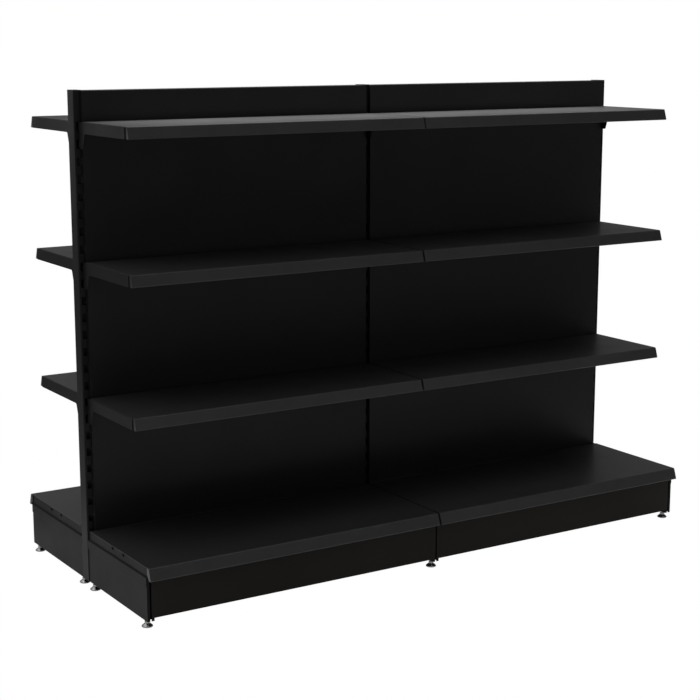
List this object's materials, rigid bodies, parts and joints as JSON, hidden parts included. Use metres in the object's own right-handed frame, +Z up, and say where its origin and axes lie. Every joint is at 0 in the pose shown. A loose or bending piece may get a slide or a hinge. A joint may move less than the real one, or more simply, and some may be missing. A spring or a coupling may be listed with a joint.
{
  "type": "gondola shelving unit",
  "caption": "Double-sided shop gondola: slotted uprights, back panels, hooked brackets, lift-off shelves and decks with slanted lips, kick plates and levelling feet.",
  "frame": {"origin": "centre of the bounding box, at floor level", "axes": "+X along the unit, -Y to the front, +Z up"},
  "size_m": [1.972, 0.8992, 1.472],
  "materials": {
    "upright_coat": "satin black powder coat",
    "cap_plastic": "moulded black plastic",
    "rail_coat": "satin black powder coat",
    "panel_coat": "satin black powder coat",
    "leg_coat": "satin black powder coat",
    "foot_plating": "bright zinc plating",
    "kick_coat": "satin black powder coat",
    "deck_coat": "satin black powder coat",
    "bracket_coat": "satin black powder coat",
    "shelf_coat": "satin black powder coat"
  },
  "bodies": {
    "frame": {"upright_left": "upright_coat", "upright_middle": "upright_coat", "upright_right": "upright_coat", "upright_cap_left": "cap_plastic", "upright_cap_middle": "cap_plastic", "upright_cap_right": "cap_plastic", "tie_rail_left_bottom": "rail_coat", "tie_rail_left_middle": "rail_coat", "tie_rail_left_top": "rail_coat", "tie_rail_right_bottom": "rail_coat", "tie_rail_right_middle": "rail_coat", "tie_rail_right_top": "rail_coat", "back_panel_front_left": "panel_coat", "back_panel_front_right": "panel_coat", "back_panel_rear_left": "panel_coat", "back_panel_rear_right": "panel_coat", "base_leg_front_left": "leg_coat", "base_leg_front_middle": "leg_coat", "base_leg_front_right": "leg_coat", "base_leg_rear_left": "leg_coat", "base_leg_rear_middle": "leg_coat", "base_leg_rear_right": "leg_coat", "kick_plate_front_left": "kick_coat", "kick_plate_front_right": "kick_coat", "kick_plate_rear_left": "kick_coat", "kick_plate_rear_right": "kick_coat", "shelf_brackets_front_left": "bracket_coat", "shelf_brackets_front_right": "bracket_coat", "shelf_brackets_rear_left": "bracket_coat", "shelf_brackets_rear_right": "bracket_coat"},
    "levelling_foot_front_left_inner": {"levelling_foot_front_left_inner": "foot_plating"},
    "levelling_foot_front_left_outer": {"levelling_foot_front_left_outer": "foot_plating"},
    "levelling_foot_front_middle_inner": {"levelling_foot_front_middle_inner": "foot_plating"},
    "levelling_foot_front_middle_outer": {"levelling_foot_front_middle_outer": "foot_plating"},
    "levelling_foot_front_right_inner": {"levelling_foot_front_right_inner": "foot_plating"},
    "levelling_foot_front_right_outer": {"levelling_foot_front_right_outer": "foot_plating"},
    "levelling_foot_rear_left_inner": {"levelling_foot_rear_left_inner": "foot_plating"},
    "levelling_foot_rear_left_outer": {"levelling_foot_rear_left_outer": "foot_plating"},
    "levelling_foot_rear_middle_inner": {"levelling_foot_rear_middle_inner": "foot_plating"},
    "levelling_foot_rear_middle_outer": {"levelling_foot_rear_middle_outer": "foot_plating"},
    "levelling_foot_rear_right_inner": {"levelling_foot_rear_right_inner": "foot_plating"},
    "levelling_foot_rear_right_outer": {"levelling_foot_rear_right_outer": "foot_plating"},
    "base_deck_front_left": {"base_deck_front_left": "deck_coat"},
    "base_deck_front_right": {"base_deck_front_right": "deck_coat"},
    "base_deck_rear_left": {"base_deck_rear_left": "deck_coat"},
    "base_deck_rear_right": {"base_deck_rear_right": "deck_coat"},
    "shelf_front_left_bottom": {"shelf_front_left_bottom": "shelf_coat"},
    "shelf_front_left_middle": {"shelf_front_left_middle": "shelf_coat"},
    "shelf_front_left_top": {"shelf_front_left_top": "shelf_coat"},
    "shelf_front_right_bottom": {"shelf_front_right_bottom": "shelf_coat"},
    "shelf_front_right_middle": {"shelf_front_right_middle": "shelf_coat"},
    "shelf_front_right_top": {"shelf_front_right_top": "shelf_coat"},
    "shelf_rear_left_bottom": {"shelf_rear_left_bottom": "shelf_coat"},
    "shelf_rear_left_middle": {"shelf_rear_left_middle": "shelf_coat"},
    "shelf_rear_left_top": {"shelf_rear_left_top": "shelf_coat"},
    "shelf_rear_right_bottom": {"shelf_rear_right_bottom": "shelf_coat"},
    "shelf_rear_right_middle": {"shelf_rear_right_middle": "shelf_coat"},
    "shelf_rear_right_top": {"shelf_rear_right_top": "shelf_coat"}
  },
  "joints": [
    {"name": "levelling_foot_front_left_inner_screw", "type": "slide", "parent": "frame", "child": "levelling_foot_front_left_inner", "axis": [0, 0, 1], "range_m": [-0.012, 0.006]},
    {"name": "levelling_foot_front_left_outer_screw", "type": "slide", "parent": "frame", "child": "levelling_foot_front_left_outer", "axis": [0, 0, 1], "range_m": [-0.012, 0.006]},
    {"name": "levelling_foot_front_middle_inner_screw", "type": "slide", "parent": "frame", "child": "levelling_foot_front_middle_inner", "axis": [0, 0, 1], "range_m": [-0.012, 0.006]},
    {"name": "levelling_foot_front_middle_outer_screw", "type": "slide", "parent": "frame", "child": "levelling_foot_front_middle_outer", "axis": [0, 0, 1], "range_m": [-0.012, 0.006]},
    {"name": "levelling_foot_front_right_inner_screw", "type": "slide", "parent": "frame", "child": "levelling_foot_front_right_inner", "axis": [0, 0, 1], "range_m": [-0.012, 0.006]},
    {"name": "levelling_foot_front_right_outer_screw", "type": "slide", "parent": "frame", "child": "levelling_foot_front_right_outer", "axis": [0, 0, 1], "range_m": [-0.012, 0.006]},
    {"name": "levelling_foot_rear_left_inner_screw", "type": "slide", "parent": "frame", "child": "levelling_foot_rear_left_inner", "axis": [0, 0, 1], "range_m": [-0.012, 0.006]},
    {"name": "levelling_foot_rear_left_outer_screw", "type": "slide", "parent": "frame", "child": "levelling_foot_rear_left_outer", "axis": [0, 0, 1], "range_m": [-0.012, 0.006]},
    {"name": "levelling_foot_rear_middle_inner_screw", "type": "slide", "parent": "frame", "child": "levelling_foot_rear_middle_inner", "axis": [0, 0, 1], "range_m": [-0.012, 0.006]},
    {"name": "levelling_foot_rear_middle_outer_screw", "type": "slide", "parent": "frame", "child": "levelling_foot_rear_middle_outer", "axis": [0, 0, 1], "range_m": [-0.012, 0.006]},
    {"name": "levelling_foot_rear_right_inner_screw", "type": "slide", "parent": "frame", "child": "levelling_foot_rear_right_inner", "axis": [0, 0, 1], "range_m": [-0.012, 0.006]},
    {"name": "levelling_foot_rear_right_outer_screw", "type": "slide", "parent": "frame", "child": "levelling_foot_rear_right_outer", "axis": [0, 0, 1], "range_m": [-0.012, 0.006]},
    {"name": "base_deck_front_left_lift", "type": "slide", "parent": "frame", "child": "base_deck_front_left", "axis": [0, 0, 1], "range_m": [0, 0.06]},
    {"name": "base_deck_front_right_lift", "type": "slide", "parent": "frame", "child": "base_deck_front_right", "axis": [0, 0, 1], "range_m": [0, 0.06]},
    {"name": "base_deck_rear_left_lift", "type": "slide", "parent": "frame", "child": "base_deck_rear_left", "axis": [0, 0, 1], "range_m": [0, 0.06]},
    {"name": "base_deck_rear_right_lift", "type": "slide", "parent": "frame", "child": "base_deck_rear_right", "axis": [0, 0, 1], "range_m": [0, 0.06]},
    {"name": "shelf_front_left_bottom_lift", "type": "slide", "parent": "frame", "child": "shelf_front_left_bottom", "axis": [0, 0, 1], "range_m": [0, 0.06]},
    {"name": "shelf_front_left_middle_lift", "type": "slide", "parent": "frame", "child": "shelf_front_left_middle", "axis": [0, 0, 1], "range_m": [0, 0.06]},
    {"name": "shelf_front_left_top_lift", "type": "slide", "parent": "frame", "child": "shelf_front_left_top", "axis": [0, 0, 1], "range_m": [0, 0.06]},
    {"name": "shelf_front_right_bottom_lift", "type": "slide", "parent": "frame", "child": "shelf_front_right_bottom", "axis": [0, 0, 1], "range_m": [0, 0.06]},
    {"name": "shelf_front_right_middle_lift", "type": "slide", "parent": "frame", "child": "shelf_front_right_middle", "axis": [0, 0, 1], "range_m": [0, 0.06]},
    {"name": "shelf_front_right_top_lift", "type": "slide", "parent": "frame", "child": "shelf_front_right_top", "axis": [0, 0, 1], "range_m": [0, 0.06]},
    {"name": "shelf_rear_left_bottom_lift", "type": "slide", "parent": "frame", "child": "shelf_rear_left_bottom", "axis": [0, 0, 1], "range_m": [0, 0.06]},
    {"name": "shelf_rear_left_middle_lift", "type": "slide", "parent": "frame", "child": "shelf_rear_left_middle", "axis": [0, 0, 1], "range_m": [0, 0.06]},
    {"name": "shelf_rear_left_top_lift", "type": "slide", "parent": "frame", "child": "shelf_rear_left_top", "axis": [0, 0, 1], "range_m": [0, 0.06]},
    {"name": "shelf_rear_right_bottom_lift", "type": "slide", "parent": "frame", "child": "shelf_rear_right_bottom", "axis": [0, 0, 1], "range_m": [0, 0.06]},
    {"name": "shelf_rear_right_middle_lift", "type": "slide", "parent": "frame", "child": "shelf_rear_right_middle", "axis": [0, 0, 1], "range_m": [0, 0.06]},
    {"name": "shelf_rear_right_top_lift", "type": "slide", "parent": "frame", "child": "shelf_rear_right_top", "axis": [0, 0, 1], "range_m": [0, 0.06]}
  ]
}
